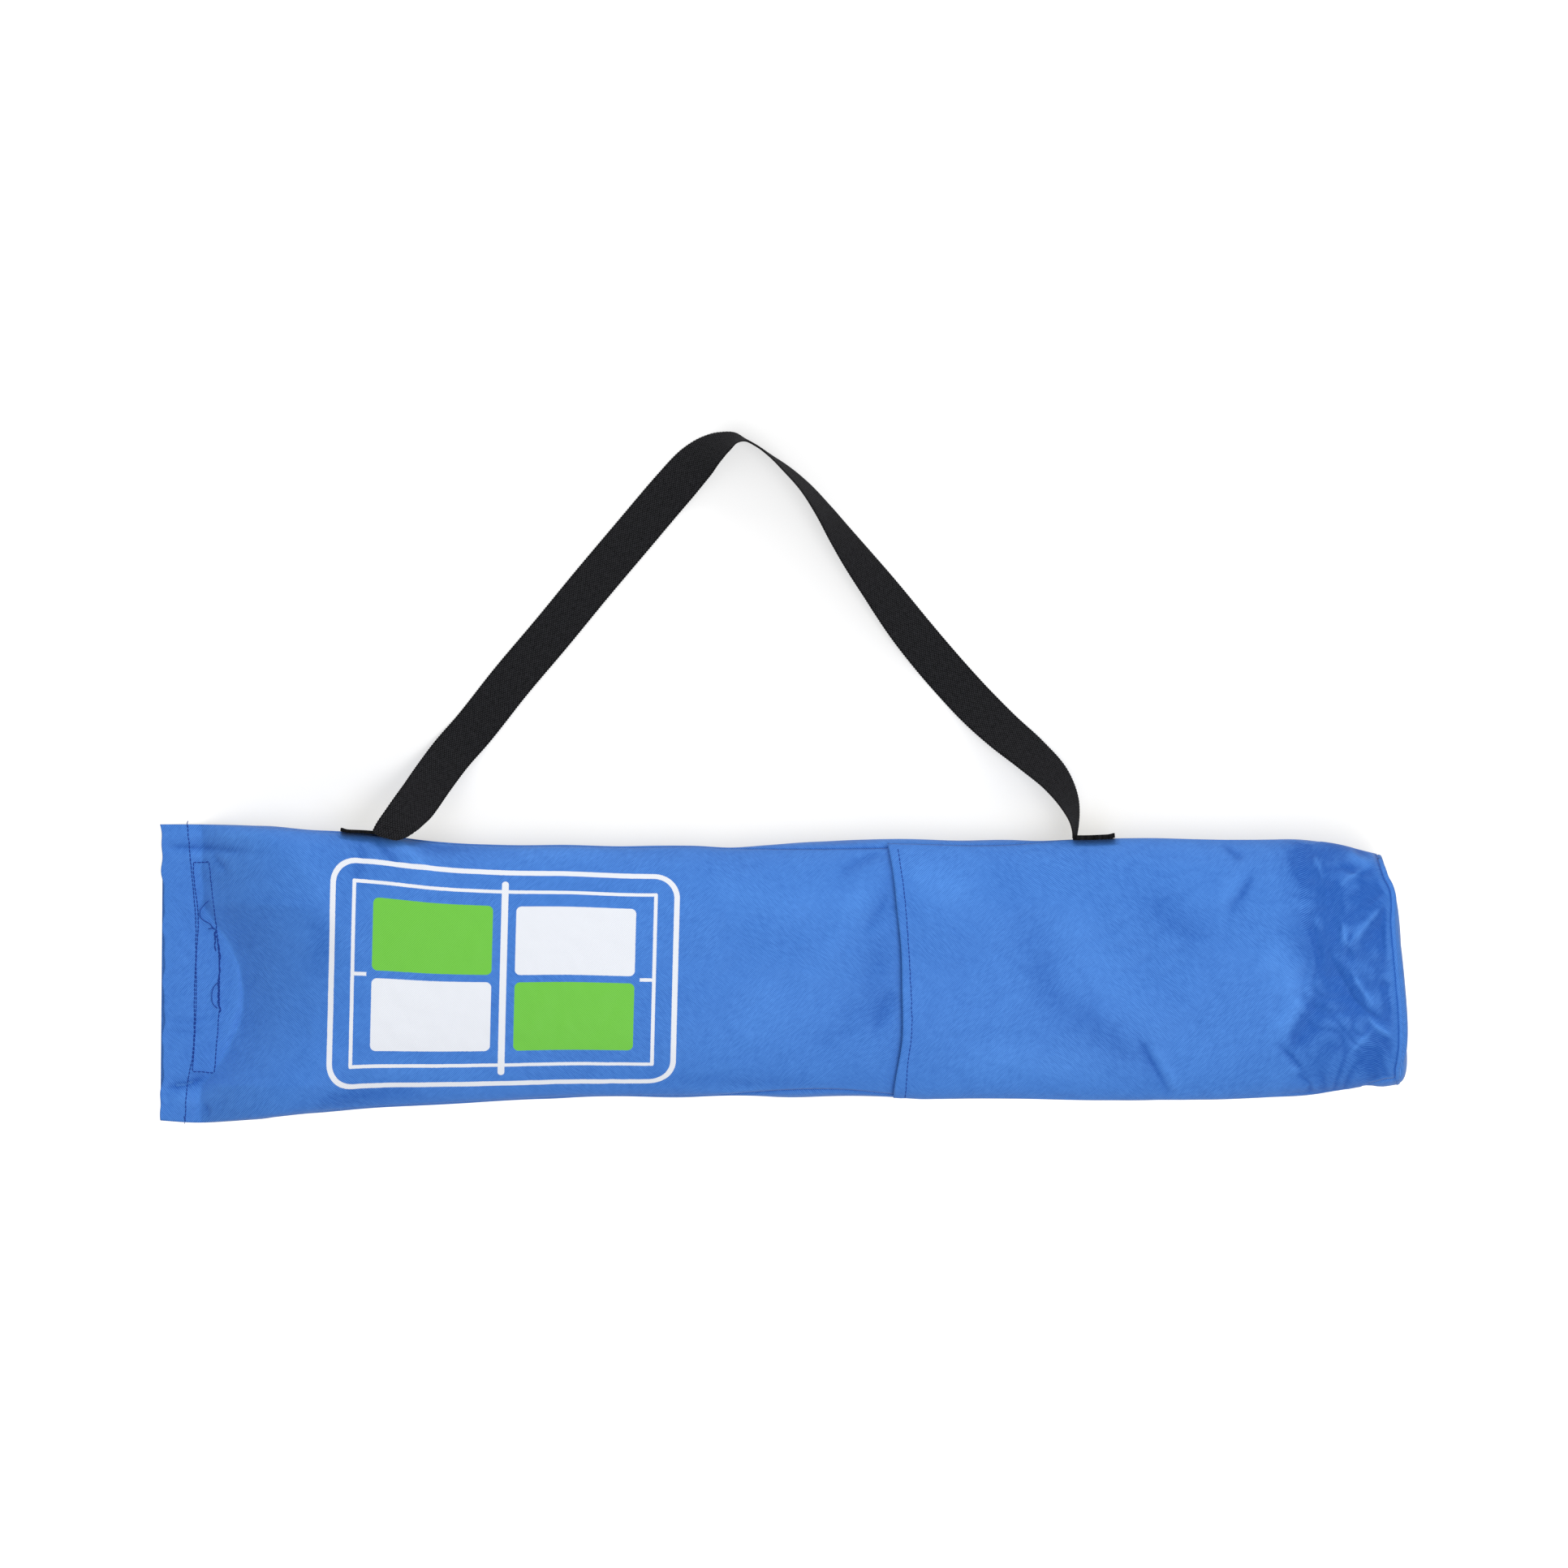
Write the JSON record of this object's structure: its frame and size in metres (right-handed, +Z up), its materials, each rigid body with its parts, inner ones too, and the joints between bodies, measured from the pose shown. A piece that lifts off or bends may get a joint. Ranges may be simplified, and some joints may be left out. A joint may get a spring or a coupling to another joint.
{
  "type": "mini tennis net set in a carry bag",
  "caption": "Long tubular fabric carry bag with a webbing shoulder strap, flat hook-and-loop mouth and outer pocket, packed with the net, poles and hubs of a portable mini tennis net.",
  "frame": {"origin": "on the floor under the middle of the bag's length, on the bag's middle line", "axes": "+X along the bag from its mouth to its base, +Y across the bag towards the shoulder strap, +Z up from the floor"},
  "size_m": [0.8873, 0.4925, 0.0728],
  "materials": {
    "bag_fabric": "blue coated polyester with a fine twill face and a slight sheen",
    "webbing": "black woven webbing",
    "hook_and_loop": "navy hook-and-loop tape",
    "coated_steel": "light grey powder coat on steel tube",
    "moulded_plastic": "black moulded plastic",
    "net_twine": "black knotted polyester net, folded",
    "headband_tape": "white woven tape"
  },
  "bodies": {
    "bag": {"back_panel": "bag_fabric", "front_panel": "bag_fabric", "base_panel": "bag_fabric", "base_piping": "bag_fabric", "pocket_panel": "bag_fabric", "pocket_hem": "bag_fabric", "mouth_hem_lower": "bag_fabric", "loop_strip": "hook_and_loop", "strap_end_mouth": "webbing", "strap_end_base": "webbing", "rail_1": "coated_steel", "rail_2": "coated_steel", "rail_3": "coated_steel", "rail_4": "coated_steel", "post_left": "coated_steel", "post_right": "coated_steel", "post_caps": "moulded_plastic", "foot_bar_1": "coated_steel", "foot_bar_2": "coated_steel", "foot_bar_3": "coated_steel", "foot_bar_4": "coated_steel", "foot_caps": "moulded_plastic", "corner_hub_left": "moulded_plastic", "corner_hub_right": "moulded_plastic", "folded_net": "net_twine", "net_headband": "headband_tape", "net_tie": "hook_and_loop"},
    "lip": {"mouth_lip": "bag_fabric", "mouth_hem_upper": "bag_fabric", "hook_strip": "hook_and_loop"},
    "strap": {"shoulder_strap": "webbing"}
  },
  "joints": [
    {"name": "strap_swing", "type": "hinge", "parent": "bag", "child": "strap", "pos_m": [-0.274, 0.09664, 0.0443], "axis": [1, -0.0057, 0], "range_deg": [0, 170]},
    {"name": "mouth_open", "type": "hinge", "parent": "bag", "child": "lip", "pos_m": [-0.3, 0, 0.058], "axis": [0, 1, 0], "range_deg": [0, 30]}
  ]
}
